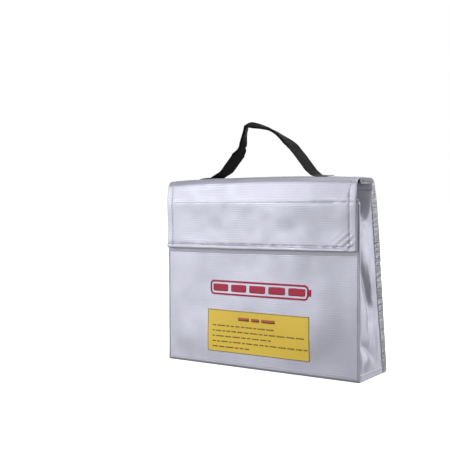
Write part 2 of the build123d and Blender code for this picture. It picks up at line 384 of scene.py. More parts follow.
def gusset(side, s, z):
    """A point of a side gusset: s runs from the front seam to the rear band, z up."""
    seed = 40 + 10 * side
    front, rear = gusset_edges(z)
    u = s * (rear - front)
    centre = 0.44 + 0.03 * np.sin(z / 0.022 + side)
    far = np.clip(np.where(s < centre, s / centre, (1 - s) / (1 - centre)), 0, 1)
    fold = 0.0060 * smooth(z, 0.085, 0.198) * far**1.1 + 0.0300 * mouth_pleat(s + 0.04 * (side < 0), z)

    free = np.clip(5 * s * (1 - s), 0, 1) ** 0.7 * smooth(z, 0.002, 0.030)
    soft = 0.0010 * wander(u, z, (0.016, 0.052), seed) + 0.0005 * wander(u, z, (0.007, 0.020), seed + 1)
    groove = 0.0026 * bump(u, 0.0010, 0.0015) * (1 - 0.5 * smooth(z, 0.100, 0.140))

    # above the front wall's edge the corner is free and leans back
    free_top = smooth(z, FRONT_H, MOUTH_Z + 0.003) * np.clip(1 - s / 0.6, 0, 1) ** 1.2
    x = GUSSET_X - fold - groove + free * (soft + gusset_creases(s, z, side)) - 0.0040 * free_top
    return np.stack([side * x, front + u + 0.0050 * free_top, np.broadcast_to(z, np.shape(x))], -1)


# ==== Mesh builders ====
EDGE_ROUND = 0.4             # how far the edge of a sheet bulges, as a share of its thickness
THREAD_UV = 0.003            # length of a stitch in the thread's material
WOBBLE = 0.0002              # how far a stitch is out of its place along a row


def finish_mesh(name, verts, faces, uvs, material):
    """Make a smooth object from points, faces and one UV (in metres) per point."""
    mesh = bpy.data.meshes.new(name)
    mesh.from_pydata(np.asarray(verts).reshape(-1, 3).tolist(), [], faces)
    mesh.polygons.foreach_set("use_smooth", [True] * len(mesh.polygons))
    layer = mesh.uv_layers.new(name="cloth")
    corners = np.zeros(len(mesh.loops), int)
    mesh.loops.foreach_get("vertex_index", corners)
    layer.data.foreach_set("uv", np.asarray(uvs, float).reshape(-1, 2)[corners].ravel())
    mesh.materials.append(material)
    mesh.validate()
    piece = bpy.data.objects.new(name, mesh)
    bpy.context.scene.collection.objects.link(piece)
    return piece


def grid_normals(points, flip):
    normal = unit(np.cross(np.gradient(points, axis=1), np.gradient(points, axis=0)))
    return -normal if flip else normal


def tube_faces(index):
    """Sides and end caps of one or more tubes, from their vertex numbers (..., stations, loop)."""
    nxt = np.roll(index, -1, axis=-1)
    corners = index[..., :-1, :], nxt[..., :-1, :], nxt[..., 1:, :], index[..., 1:, :]
    caps = (end.reshape(-1, index.shape[-1]).tolist() for end in (index[..., 0, ::-1], index[..., -1, :]))
    return np.stack(corners, -1).reshape(-1, 4).tolist() + sum(caps, [])


def grid_faces(rows, cols):
    """Vertex numbers of the four-sided faces of a grid, and the numbers once round its edge."""
    index = np.arange(rows * cols).reshape(rows, cols)
    quads = np.stack([index[:-1, :-1], index[:-1, 1:], index[1:, 1:], index[1:, :-1]], -1).reshape(-1, 4)
    return quads, np.concatenate([index[0, :-1], index[:-1, -1], index[-1, :0:-1], index[:0:-1, 0]])


def cloth(name, points, uv, thickness, material, flip=False):
    """A closed sheet: its outer face is the grid of points, it has rounded edges, and it thickens inward."""
    rows, cols = points.shape[:2]
    count = rows * cols
    quads, ring = grid_faces(rows, cols)
    right, up = unit(np.gradient(points, axis=1)), unit(np.gradient(points, axis=0))
    away = np.zeros_like(points)
    away[:, 0] -= right[:, 0]
    away[:, -1] += right[:, -1]
    away[0] -= up[0]
    away[-1] += up[-1]
    outer = points.reshape(-1, 3)
    inner = (points - grid_normals(points, flip) * thickness).reshape(-1, 3)
    middle = (outer[ring] + inner[ring]) / 2 + unit(away.reshape(-1, 3)[ring]) * thickness * EDGE_ROUND
    edge = 2 * count + np.arange(len(ring))
    after, edge_after = np.roll(ring, -1), np.roll(edge, -1)
    faces = np.concatenate([
        quads,
        quads[:, ::-1] + count,
        np.stack([after, ring, edge, edge_after], -1),
        np.stack([edge_after, edge, ring + count, after + count], -1),
    ])
    faces = faces[:, ::-1] if flip else faces
    uv = uv.reshape(-1, 2)
    uvs = np.concatenate([uv, uv, uv[ring]])
    return finish_mesh(name, np.concatenate([outer, inner, middle]), faces.tolist(), uvs, material)


def bar(name, centres, across, out, profile, material):
    """A closed bar: a loop of (across, out) points at each place along a line.

    profile is one loop for the whole line, or a loop for each place."""
    centres = np.asarray(centres)
    profile = np.broadcast_to(profile, (len(centres),) + np.shape(profile)[-2:])
    rings = centres[:, None] + across[:, None] * profile[..., :1] + out[:, None] * profile[..., 1:]
    faces = tube_faces(np.arange(rings.size // 3).reshape(rings.shape[:2]))
    along = distances(centres)
    around = np.linalg.norm(np.diff(profile, axis=1, append=profile[:, :1]), axis=-1).cumsum(axis=1)
    uvs = np.stack([around, np.broadcast_to(along[:, None], around.shape)], -1)
    return finish_mesh(name, rings, faces, uvs, material)


def rounded_profile(width, height, corner=4):
    """Loop of a flat bar's section, with round ends."""
    radius = height / 2
    turns = np.linspace(-math.pi / 2, math.pi / 2, corner + 1)
    right = np.stack([width / 2 - radius + radius * np.cos(turns), radius * np.sin(turns)], -1)
    return np.concatenate([right, -right])


def stitches(name, starts, ends, normals, radius, material):
    """One mesh of short threads, each arched out of the cloth and sunk into it at both ends."""
    starts, ends, normals = (np.asarray(v, float).reshape(-1, 3) for v in (starts, ends, normals))
    places = np.array([0.0, 0.12, 0.35, 0.65, 0.88, 1.0])
    lifts = np.array([-0.9, 0.1, 0.75, 0.75, 0.1, -0.9]) * radius
    sizes = np.array([0.55, 0.85, 1.0, 1.0, 0.85, 0.55]) * radius
    way = unit(ends - starts)
    side = unit(np.cross(way, normals))
    lift = np.cross(side, way)
    spine = starts[:, None] + (ends - starts)[:, None] * places[:, None] + lift[:, None] * lifts[:, None]
    around = len(places)
    angles = np.linspace(0, 2 * math.pi, around + 1)[:-1]
    ring = side[:, None] * np.cos(angles)[:, None] + lift[:, None] * np.sin(angles)[:, None]
    verts = spine[:, :, None] + ring[:, None] * sizes[:, None, None]
    index = np.arange(verts.size // 3).reshape(-1, len(places), around)
    uvs = np.zeros((index.size, 2))
    uvs[:, 1] = np.tile(np.repeat(places, around), len(starts)) * THREAD_UV
    return finish_mesh(name, verts, tube_faces(index), uvs, material)


def line_row(surface, a, b, pitch=0.0034, length=0.0023, seed=3):
    """Starts, ends and normals of the stitches along a straight line between two pairs of surface
    coordinates."""
    shares = np.linspace(0, 1, 400)
    along = distances(surface(*between(a, b, shares)))
    number = int(along[-1] / pitch)
    begin = (np.arange(number) + 0.5) * pitch - length / 2
    begin = begin + np.random.default_rng(seed).uniform(-WOBBLE, WOBBLE, number)
    s0, s1 = np.interp(begin, along, shares), np.interp(begin + length, along, shares)
    (u, v), step = between(a, b, (s0 + s1) / 2), 0.0006
    du = surface(u + step, v) - surface(u - step, v)
    dv = surface(u, v + step) - surface(u, v - step)
    return surface(*between(a, b, s0)), surface(*between(a, b, s1)), unit(np.cross(du, dv))


# ==== Materials ====
RIB = 0.0025                 # spacing of the cross ribs of the coated cloth


class Nodes:
    """A short way to write a material's node tree."""

    def __init__(self, name):
        self.material = bpy.data.materials.new(name)
        self.material.use_nodes = True
        self.tree = self.material.node_tree
        self.shader = self.tree.nodes["Principled BSDF"]

    def put(self, socket, value):
        """Give a socket a link, a number, or a colour of three parts."""
        if isinstance(value, bpy.types.NodeSocket):
            self.tree.links.new(value, socket)
        else:
            socket.default_value = (*value, 1) if socket.type == "RGBA" else value

    def add(self, kind, inputs=None, **settings):
        node = self.tree.nodes.new(kind)
        for key, value in settings.items():
            setattr(node, key, value)
        for key, value in (inputs or {}).items():
            self.put(node.inputs[key], value)
        return node

    def uv(self, scale):
        """UV in metres times a scale."""
        place = self.add("ShaderNodeUVMap", uv_map="cloth").outputs[0]
        return self.add("ShaderNodeVectorMath", {0: place, 1: scale}, operation="MULTIPLY").outputs[0]

    def math(self, operation, a, b=0.0, c=0.0, clamp=False):
        inputs = {0: a, 1: b, 2: c}
        return self.add("ShaderNodeMath", inputs, operation=operation, use_clamp=clamp).outputs[0]

    def in_metres(self):
        """UV in metres, and its two parts."""
        metres = self.uv((1, 1, 1))
        parts = self.add("ShaderNodeSeparateXYZ", {0: metres})
        return metres, parts.outputs[0], parts.outputs[1]

    def noise(self, vector, scale, detail=2.0, rough=0.5):
        inputs = {"Vector": vector, "Scale": scale, "Detail": detail, "Roughness": rough}
        return self.add("ShaderNodeTexNoise", inputs).outputs["Fac"]

    def wave(self, value, pitch):
        """A sine of a length, from 0 to 1."""
        turn = self.math("MULTIPLY", value, 2 * math.pi / pitch)
        return self.math("MULTIPLY_ADD", self.math("SINE", turn), 0.5, 0.5)

    def mix(self, factor, a, b):
        """One colour turning into another; 6, 7 and 2 are the node's colour sockets."""
        return self.add("ShaderNodeMix", {0: factor, 6: a, 7: b}, data_type="RGBA").outputs[2]

    def range(self, value, low, high):
        return self.add("ShaderNodeMapRange", {"Value": value, "To Min": low, "To Max": high}).outputs[0]

    def relief(self, height, distance, strength=1.0, under=None):
        inputs = {"Height": height, "Distance": distance, "Strength": strength}
        if under is not None:
            inputs["Normal"] = under
        return self.add("ShaderNodeBump", inputs).outputs[0]

    def finish(self, **sockets):
        for key, value in sockets.items():
            self.put(self.shader.inputs[key.replace("_", " ")], value)
        return self.material


def coated_cloth(name):
    """Silver coated glass cloth: cross ribs over a plain weave, a satin coat and faint rubbed patches."""
    n = Nodes(name)
    metres, across, along = n.in_metres()
    drift = n.noise(metres, 35.0, 2.0)
    bent = n.math("MULTIPLY_ADD", drift, 0.0012, along)
    ribs = n.math("POWER", n.wave(bent, RIB), 2.2)
    broken = n.noise(n.uv((90, 700, 1)), 1.0, 3.0, 0.6)
    weft = n.wave(along, 0.00062)
    warp = n.wave(across, 0.00070)
    weave = n.math("MULTIPLY", weft, warp)
    grain = n.noise(metres, 1400.0, 3.0, 0.7)
    patches = n.noise(metres, 26.0, 4.0, 0.55)
    faded = n.math("MULTIPLY_ADD", n.noise(n.uv((30, 55, 1)), 1.0, 2.0), 3.2, -1.1, clamp=True)
    shown = n.math("MULTIPLY", faded, n.range(broken, 0.15, 1.25))
    rib_tone = n.math("MULTIPLY", ribs, shown, clamp=True)
    tone = n.math("MULTIPLY_ADD", rib_tone, 0.42, n.math("MULTIPLY", patches, 0.75), clamp=True)
    colour = n.mix(tone, (0.42, 0.42, 0.49), (0.53, 0.53, 0.615))
    rough = n.math("MULTIPLY_ADD", n.noise(metres, 60.0, 3.0), 0.16, n.range(ribs, 0.40, 0.33))
    first = n.relief(weave, 0.00003, 0.4)
    second = n.relief(grain, 0.00003, 0.3, first)
    third = n.relief(rib_tone, 0.00009, 0.8, second)
    return n.finish(Base_Color=colour, Roughness=rough, Normal=third, Metallic=0.62)


def overlocked(name):
    """Cut edge of the coated cloth under close overlock thread: light flecks of thread, and dark flecks that
    are painted shade in the gaps between its wraps.
    """
    n = Nodes(name)
    metres, _, along = n.in_metres()
    # where this mask is 0 the colour goes near black: painted shade in the gaps between the thread's wraps
    thread_and_gap_shade_mask = n.math("MULTIPLY_ADD", n.noise(metres, 420.0, 3.0, 0.7), 5.0, -2.05, clamp=True)
    fine = n.noise(metres, 1500.0, 2.0, 0.6)
    wraps = n.wave(n.math("MULTIPLY_ADD", n.noise(metres, 260.0), 0.002, along), 0.0012)
    flecks_and_gap_shade = n.math("MULTIPLY", thread_and_gap_shade_mask, n.range(fine, 0.5, 1.2))
    tone = n.math("MULTIPLY_ADD", wraps, 0.25, flecks_and_gap_shade, clamp=True)
    colour = n.mix(tone, (0.040, 0.038, 0.050), (0.90, 0.90, 0.97))
    height = n.relief(fine, 0.00008, 0.6, n.relief(wraps, 0.00014, 0.8))
    return n.finish(Base_Color=colour, Roughness=n.range(thread_and_gap_shade_mask, 0.62, 0.45), Normal=height, Metallic=0.25)


def fibre_cloth():
    """Off-white woven fibre cloth of the lining."""
    n = Nodes("fibre_lining")
    metres, across, along = n.in_metres()
    weave = n.math("MULTIPLY", n.wave(across, 0.0011), n.wave(along, 0.0011))
    cloudy = n.noise(metres, 45.0, 4.0, 0.6)
    grain = n.noise(metres, 1600.0, 3.0)
    colour = n.mix(cloudy, (0.66, 0.66, 0.63), (0.80, 0.80, 0.78))
    height = n.relief(grain, 0.00006, 0.5, n.relief(weave, 0.00010, 0.8))
    return n.finish(Base_Color=colour, Roughness=n.range(cloudy, 0.7, 0.85), Normal=height, Sheen_Weight=0.2)


def fastener(name, pitch, depth, light, dark):
    """White hook or loop strip: rows of tiny tufts in rough lines."""
    n = Nodes(name)
    metres = n.uv((1, 1, 1))
    tufts = n.add("ShaderNodeTexVoronoi", {"Vector": metres, "Scale": 1 / pitch, "Randomness": 0.75})
    lumps = n.math("SUBTRACT", 1.0, tufts.outputs["Distance"], clamp=True)
    hair = n.noise(metres, 2600.0, 4.0, 0.75)
    matted = n.noise(metres, 90.0, 3.0)
    tone = n.math("MULTIPLY_ADD", lumps, 0.7, n.math("MULTIPLY", matted, 0.4), clamp=True)
    colour = n.mix(tone, dark, light)
    height = n.relief(hair, 0.00012, 0.6, n.relief(lumps, depth, 0.9))
    return n.finish(Base_Color=colour, Roughness=n.range(hair, 0.75, 0.95), Normal=height, Sheen_Weight=0.45)


def black_webbing():
    """Black polypropylene webbing: ribs along its length crossed by a close weft."""
    n = Nodes("webbing")
    metres, across, along = n.in_metres()
    slant = n.math("MULTIPLY_ADD", n.wave(across, 0.0032), 0.0008, along)
    weft = n.wave(slant, 0.00125)
    warp = n.wave(across, 0.0016)
    weave = n.math("MULTIPLY_ADD", weft, 0.65, n.math("MULTIPLY", warp, 0.35))
    fuzz = n.noise(metres, 2200.0, 4.0, 0.7)
    worn = n.noise(metres, 70.0, 3.0)
    tone = n.math("MULTIPLY_ADD", weave, 0.6, n.math("MULTIPLY", worn, 0.4))
    colour = n.mix(tone, (0.0022, 0.0022, 0.0025), (0.0075, 0.0075, 0.008))
    height = n.relief(fuzz, 0.00004, 0.5, n.relief(weave, 0.00022, 0.9))
    rough = n.range(worn, 0.7, 0.85)
    return n.finish(Base_Color=colour, Roughness=rough, Normal=height, Specular_IOR_Level=0.16)


def thread(name, colour, darker):
    """Twisted sewing thread."""
    n = Nodes(name)
    _, across, along = n.in_metres()
    twist = n.wave(n.math("ADD", along, across), 0.0005)
    height = n.relief(twist, 0.00005, 0.7)
    return n.finish(Base_Color=n.mix(twist, darker, colour), Roughness=0.6, Normal=height, Sheen_Weight=0.2)


def printed(name, colour, rubbed, rough=0.45):
    """A printed film that takes a little of the cloth's ribs and is rubbed in places."""
    n = Nodes(name)
    metres, _, along = n.in_metres()
    ribs = n.wave(along, RIB)
    wear = n.noise(metres, 220.0, 5.0, 0.7)
    cloudy = n.noise(metres, 40.0, 2.0)
    shade = n.math("MULTIPLY_ADD", wear, 0.35, n.math("MULTIPLY", cloudy, 0.45), clamp=True)
    height = n.relief(wear, 0.00003, 0.4, n.relief(ribs, 0.00006, 0.6))
    mixed = n.mix(shade, colour, rubbed)
    return n.finish(Base_Color=mixed, Roughness=n.range(wear, rough, rough + 0.2), Normal=height)


SILVER = coated_cloth("silver_cloth")
SEAM = overlocked("overlock_seam")
FIBRE = fibre_cloth()
LOOP = fastener("loop_tape", 0.0011, 0.00020, (0.70, 0.70, 0.79), (0.54, 0.54, 0.61))
HOOK = fastener("hook_tape", 0.0015, 0.00030, (0.80, 0.80, 0.88), (0.60, 0.60, 0.67))
WEBBING = black_webbing()
PALE_THREAD = thread("pale_thread", (0.78, 0.78, 0.84), (0.52, 0.52, 0.58))
WHITE_THREAD = thread("white_thread", (0.80, 0.80, 0.83), (0.55, 0.55, 0.60))
GREY_THREAD = thread("grey_thread", (0.26, 0.26, 0.28), (0.13, 0.13, 0.145))
YELLOW = printed("label_film", (0.87, 0.60, 0.048), (0.86, 0.62, 0.095))
RED = printed("red_print", (0.43, 0.006, 0.045), (0.47, 0.022, 0.07), 0.5)
BROWN = printed("label_ink", (0.36, 0.085, 0.030), (0.44, 0.16, 0.05), 0.5)
OLIVE = printed("label_row_ink", (0.20, 0.115, 0.020), (0.34, 0.21, 0.035), 0.5)
BORDER = printed("label_border", (0.10, 0.085, 0.07), (0.20, 0.16, 0.10), 0.5)

# ==== Where pieces go: the creases' ends are found, pieces behind and in front of the split are baked in place, others ride with the bag or the top ====


def crease(t_start, t_end):
    ends = (path_at(t)[0].tolist() for t in (t_start, t_end))
    return dict(zip(("start", "end"), ((0, y, z) for y, z in ends)))


REAR_CREASE = crease(T_REAR_A, T_REAR_B)
FRONT_CREASE = crease(T_FRONT_A, T_FRONT_B)


def bend_rear(piece):
    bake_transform(piece)


def bend_front(piece):
    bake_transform(piece)


def with_bag(piece):
    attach(piece, "bag")


def with_top(piece):
    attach(piece, "flap_top")


def fit(piece, move, slot, *nodes):
    """Say how a piece moves and the CAD nodes it is seen instead of; slot, its material slot, is not used.
    """
    move(piece)
    if nodes:
        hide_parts(*nodes)
    return piece


def long_patch(name, t_low, t_high, thickness, material, out=0.0, span=None, rows=GRID, sewn=((), ())):
    """A piece of the long cloth, or of what lies along it, between two distances along it.

    sewn gives the distances in from the sides, and the places along it, where the mesh is made finer."""
    close = np.array([-0.0016, -0.0008, 0.0, 0.0008, 0.0016])
    by_sides, by_rows = ((close + np.array(places)[:, None]).ravel() for places in sewn)
    ts = lines(t_low, t_high, rows, extra=by_rows)
    left, right = (np.full_like(ts, x) for x in span) if span else cloth_edges(ts)
    width = float(np.mean(right - left))
    shares = (lines(0, width, extra=np.concatenate([by_sides, width - by_sides])) / width)[None]
    x = left[:, None] + (right - left)[:, None] * shares
    t = np.broadcast_to(ts[:, None], x.shape)
    return cloth(name, long_cloth(x, t, out), np.stack([x, t], -1), thickness, material, flip=True)


# ---- front wall, base and back wall
T_FRONT_CUT, T_BACK_CUT = T_BASE_FRONT + T_BASE_SPLIT, T_BASE_BACK - T_BASE_SPLIT
front_cloth = long_patch("front_cloth", 0, T_FRONT_CUT, SKIN, SILVER)
fit(front_cloth, with_bag, "silver_cloth", "front_panel")

base_cloth = long_patch("base_cloth", T_FRONT_CUT, T_BACK_CUT, SKIN, SILVER)
fit(base_cloth, with_bag, "silver_cloth", "bottom_panel")

back_cloth = long_patch("back_cloth", T_BACK_CUT, T_SPLIT, SKIN, SILVER)
fit(back_cloth, bend_rear, "silver_cloth", "back_panel", "rear_fold", "flap_top_panel")

T_KNEE = float(t_on_flap(KNEE))
SEWN = (SIDE_IN,), (T_KNEE, T_END - HEM_IN)
flap_cloth = long_patch("flap_cloth", T_SPLIT, T_END, SKIN, SILVER, rows=0.0017, sewn=SEWN)
fit(flap_cloth, bend_front, "silver_cloth", "flap_front_panel", "front_fold")

# ---- linings
UNDER = -SKIN - 0.0001       # outer face of what lies against the inside of the cloth
INNER_X = GUSSET_X - 0.0022


def lining(name, t_low, t_high, *nodes, on, span=(-INNER_X, INNER_X), move=with_bag):
    piece = long_patch(name, t_low, t_high, LINING, FIBRE, UNDER, span)
    fit(piece, move, "fibre_lining", *nodes)


lining("front_lining_cloth", 0.0008, T_FRONT_CUT, "front_lining", on="front_cloth")
lining("base_lining_cloth", T_FRONT_CUT, T_BACK_CUT, "bottom_lining", on="base_cloth")
lining(
    "back_lining_cloth", T_BACK_CUT, T_SPLIT, "back_lining", "flap_top_lining", on="back_cloth",
    move=bend_rear,
)
lining(
    "flap_lining_cloth", T_SPLIT, T_END - 0.006, "flap_front_lining", on="flap_cloth",
    span=(FLAP_LEFT + HEM, FLAP_RIGHT - HEM), move=bend_front,
)

# ---- fastening strips
WALL_HALF = SEAM_X - RIDGE_W
STRIP_OUT = 0.0009           # face of the loop strip, out from the front cloth
HOOK_IN = 0.0012             # the hook strip stops short of the flap's sides


def strip(name, node, t_of, span, thickness, material, out, move, width, on):
    """A fastening strip as high as its CAD node, whose name is its material slot's too."""
    low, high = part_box(node)[0].z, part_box(node)[1].z
    piece = long_patch(name, float(t_of(high)), float(t_of(low)), thickness, material, out, span)
    fit(piece, move, node, node)


strip(
    "loop_strip", "loop_tape", t_on_front, (-WALL_HALF, WALL_HALF), 0.0008, LOOP, STRIP_OUT, with_bag,
    2 * WALL_HALF, "front_cloth",
)
strip(
    "hook_strip", "hook_tape", t_on_flap, (FLAP_LEFT + HOOK_IN, FLAP_RIGHT - HOOK_IN), 0.0007, HOOK,
    UNDER - 0.0008, bend_front, FLAP_RIGHT - FLAP_LEFT, "flap_lining_cloth",
)

# ---- hems of the flap


def hem_strip(name, t_low, t_high, span, move, node):
    fit(long_patch(name, t_low, t_high, 0.0008, SILVER, UNDER, span), move, "silver_cloth", node)


for part, node, t_low, t_high, move in (
    ("top", "flap_top", T_REAR_A - 0.004, T_SPLIT, bend_rear),
    ("front", "flap", T_SPLIT, T_END - HEM, bend_front),
):
    for word, left in (("left", FLAP_LEFT), ("right", FLAP_RIGHT - HEM)):
        hem_strip(f"flap_hem_{word}_{part}", t_low, t_high, (left, left + HEM), move, f"{node}_{word}_hem")
hem_strip("flap_hem_bottom", T_END - HEM, T_END, (FLAP_LEFT, FLAP_RIGHT), bend_front, "flap_bottom_hem")

# ---- gussets


def gusset_patch(name, side, low, high, thickness, material, out=0.0, step=0.0016):
    zs = lines(low, high, 0.0024)
    shares = lines(0, 1, step / 0.045, MARGIN / 0.045)
    s, z = np.meshgrid(shares, zs)
    front, rear = gusset_edges(z)
    points = gusset(side, s, z)
    points = points + grid_normals(points, side < 0) * out
    uv = np.stack([front + s * (rear - front), z], -1)
    return cloth(name, points, uv, thickness, material, flip=side < 0)


# a gusset is cut as a tall trapezium, wide at the base and narrow at the mouth
GUSSET_HEM = 0.0070          # height of the hems at a gusset's mouth and foot
for side, word in SIDES:
    outer = gusset_patch(f"{word}_gusset_cloth", side, 0.0006, MOUTH_Z, SKIN, SILVER)
    fit(outer, with_bag, "silver_cloth", f"{word}_gusset")

    inner = gusset_patch(f"{word}_gusset_lining_cloth", side, 0.0016, MOUTH_Z - 0.001, LINING, FIBRE, UNDER)
    fit(inner, with_bag, "fibre_lining", f"{word}_gusset_lining")

    for end, low, high, thickness, out in (
        ("mouth", MOUTH_Z - GUSSET_HEM, MOUTH_Z, 0.0006, 0.0007),
        ("base", 0.0004, GUSSET_HEM, 0.0005, 0.0003),
    ):
        hem = gusset_patch(f"{word}_{end}_hem_strip", side, low, high, thickness, SILVER, out)
        fit(hem, with_bag, "silver_cloth", f"{word}_{end}_hem")

# ---- front seams: a narrow pinched ridge
zs = np.linspace(0.0006, FRONT_H, 90)
for side, word in SIDES:
    sway = 0.00022 * wander(zs, 0 * zs + side, 0.02, 61)
    centres = np.stack([side * (SEAM_X - 0.00125 + sway), front_y(zs) + 0.0008, zs], -1)
    across = np.tile([1.0, 0, 0], (len(zs), 1))
    out = np.tile([0, -1.0, 0], (len(zs), 1))
    ridge = bar(f"{word}_front_ridge", centres, across, out, rounded_profile(0.0022, 0.0020, 6), SILVER)
    fit(ridge, with_bag, "overlock_seam", f"{word}_front_seam")

# ---- rear seams: a flat overlocked band, up the back edge, round the corner and along the top
BAND_THICK = 0.0017
T_BAND = np.linspace(T_BACK_FOOT + 0.0005, T_FRONT_A - 0.0020, 150)


def band_at(side, t):
    """Middle of the band, the direction across it, and its width, at distances along the cloth."""
    place, normal = path_at(t)
    width = BAND - 0.0030 * (1 - smooth(t - T_BACK_FOOT, 0.020, 0.080))
    width = width - 0.0026 * smooth(t, T_REAR_A - 0.020, T_REAR_A) - 0.0028 * smooth(t, T_REAR_A, T_REAR_B)
    edge = FLAP_RIGHT if side > 0 else -FLAP_LEFT
    x = np.interp(t, [T_REAR_A - 0.025, T_REAR_B], [SEAM_X - 0.0009, edge - 0.0008])
    x = x + 0.00035 * wander(t, 0 * t + side, 0.018, 63)
    middle = place - normal * (width / 2 + 0.0003)[..., None]
    return np.stack([side * x, middle[..., 0], middle[..., 1]], -1), normal, width


for side, word in SIDES:
    centres, normal, width = band_at(side, T_BAND)
    across = np.stack([0 * T_BAND, normal[:, 0], normal[:, 1]], -1)
    out = np.tile([float(side), 0, 0], (len(T_BAND), 1))
    swell = width * (1 + 0.035 * wander(T_BAND, 0 * T_BAND, 0.006, 64)) - 0.0004
    profile = np.array([rounded_profile(w, BAND_THICK, 5) for w in swell])
    band = bar(f"{word}_rear_band", centres, across, out, profile[:, :: -side], SEAM)
    fit(band, bend_rear, "overlock_seam", f"{word}_rear_seam")

# ==== Label and mark on the front wall ====


def on_front(x, z, out):
    return long_cloth(np.asarray(x, float), t_on_front(z), out)


def rounded_outline(low, high, radius, arc=6):
    """Closed outline of a rounded rectangle, with the same number of points whatever its radius."""
    points = []
    for cx, cz, first in (
        (high[0] - radius, high[1] - radius, 0), (low[0] + radius, high[1] - radius, 1),
        (low[0] + radius, low[1] + radius, 2), (high[0] - radius, low[1] + radius, 3),
    ):
        for k in range(arc + 1):
            angle = (first + k / arc) * math.pi / 2
            points.append((cx + radius * math.cos(angle), cz + radius * math.sin(angle)))
    return points


def flat_shapes(name, strips, out, thickness, material):
    """One mesh of thin shapes printed on the front wall. Each strip is a grid (rows, cols, 2) of (x, z)."""
    verts, faces, uvs, base = [], [], [], 0
    for strip in strips:
        rows, cols = strip.shape[:2]
        quads, ring = grid_faces(rows, cols)
        after, under = np.roll(ring, -1), rows * cols
        sides = np.stack([after, ring, ring + under, after + under], -1)
        faces += (np.concatenate([quads, quads[:, ::-1] + under, sides]) + base).tolist()
        for level in (out, out - thickness):
            verts.append(on_front(strip[..., 0], strip[..., 1], level).reshape(-1, 3))
            uvs.append(strip.reshape(-1, 2))
        base += 2 * under
    return finish_mesh(name, np.concatenate(verts), faces, np.concatenate(uvs), material)


def rectangle(x0, x1, z0, z1, step=0.002):
    """Grid of (x, z) over a rectangle."""
    xs = np.linspace(x0, x1, max(2, round((x1 - x0) / step) + 1))
    zs = np.linspace(z0, z1, max(2, round((z1 - z0) / step) + 1))
    return np.stack(np.meshgrid(xs, zs), -1)


def frame_strips(x0, x1, z0, z1, width):
    """Four thin bars round a rectangle, mitred by length."""
    return [
        rectangle(x0, x1, z0, z0 + width),
        rectangle(x0, x1, z1 - width, z1),
        rectangle(x0, x0 + width, z0 + width, z1 - width),
        rectangle(x1 - width, x1, z0 + width, z1 - width),
    ]


label_low, label_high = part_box("front_label")
grid = np.meshgrid(*(lines(a, b, 0.0015, 0.0002) for a, b in zip(label_low.xz, label_high.xz)))
label = cloth("label_panel", on_front(*grid, 0.00030), np.stack(grid, -1), 0.00028, YELLOW)
fit(label, with_bag, "label_film", "front_label")


def ink(name, shapes, material, slot):
    """Shapes printed on the label."""
    fit(flat_shapes(name, shapes, LABEL_TOP, INK, material), with_bag, slot)


LABEL_TOP, INK = 0.00036, 0.00006     # face of what is printed on the label, and its thickness
BORDER_W = 0.0006
border = frame_strips(label_low.x, label_high.x, label_low.z, label_high.z, BORDER_W)
ink("label_border_line", border, BORDER, "label_film")

# the words of the label are replaced by plain dashes: a short heading and five rows
HEADING_W, HEADING_GAP, DASH_GRID = 0.047, 0.0028, 0.003
x = (label_low.x + label_high.x) / 2 - HEADING_W / 2
heading = []
for share in (0.30, 0.22, 0.36):
    heading.append(
        rectangle(x, x + HEADING_W * share, label_high.z - 0.0105, label_high.z - 0.0068, DASH_GRID)
    )
    x += HEADING_W * share + HEADING_GAP
ink("label_heading_dashes", heading, BROWN, "red_print")

ROW_PITCH, ROW_TALL, ROW_INDENT, WORD_GAP = 0.0058, 0.0013, 0.0065, 0.0017
rng = np.random.default_rng(12)
dashes = []
for row, row_end in enumerate((0.085, 0.118, 0.078, 0.122, 0.050)):
    x, z = label_low.x + ROW_INDENT, label_high.z - 0.0165 - ROW_PITCH * row
    while x < label_low.x + row_end:
        word = rng.uniform(0.0028, 0.0105)
        right = min(x + word, label_low.x + row_end + 0.004)
        dashes.append(rectangle(x, right, z - ROW_TALL, z, DASH_GRID))
        x += word + WORD_GAP
ink("label_row_dashes", dashes, OLIVE, "red_print")

# battery mark: outline with a terminal, and five charge cells
mark_low, mark_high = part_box("battery_mark")
LINE = 0.0020                # width of the outline, and of the gaps inside it
NUB_W, NUB_H, CELLS = 0.0030, 0.0070, 5
body_right = mark_high.x - NUB_W
middle_z = (mark_low.z + mark_high.z) / 2


def ring_strip(low, high, radius, width):
    """Grid between two outlines, a rounded rectangle's and one drawn in from it by a width."""
    outer = rounded_outline(low, high, radius)
    low, high = (low[0] + width, low[1] + width), (high[0] - width, high[1] - width)
    inner = rounded_outline(low, high, radius - width)
    dense = []
    for loop in (inner, outer):
        points = []
        for a, b, c, d in zip(outer, outer[1:] + outer[:1], loop, loop[1:] + loop[:1]):
            parts = max(1, round(math.dist(a, b) / 0.002))
            move_x, move_z = d[0] - c[0], d[1] - c[1]
            points += [(c[0] + move_x * k / parts, c[1] + move_z * k / parts) for k in range(parts)]
        dense.append(points + points[:1])
    return np.array(dense)


def soft_cell(x0, x1, z0, z1, radius=0.0012):
    """Grid over a rectangle whose corners are drawn in."""
    grid = rectangle(x0, x1, z0, z1, 0.0012)
    u = (grid[..., 0] - (x0 + x1) / 2) / ((x1 - x0) / 2)
    v = (grid[..., 1] - (z0 + z1) / 2) / ((z1 - z0) / 2)
    pull = np.abs(u) ** 8 * np.abs(v) ** 8 * radius * 0.42
    grid[..., 0] -= np.sign(u) * pull
    grid[..., 1] -= np.sign(v) * pull
    return grid


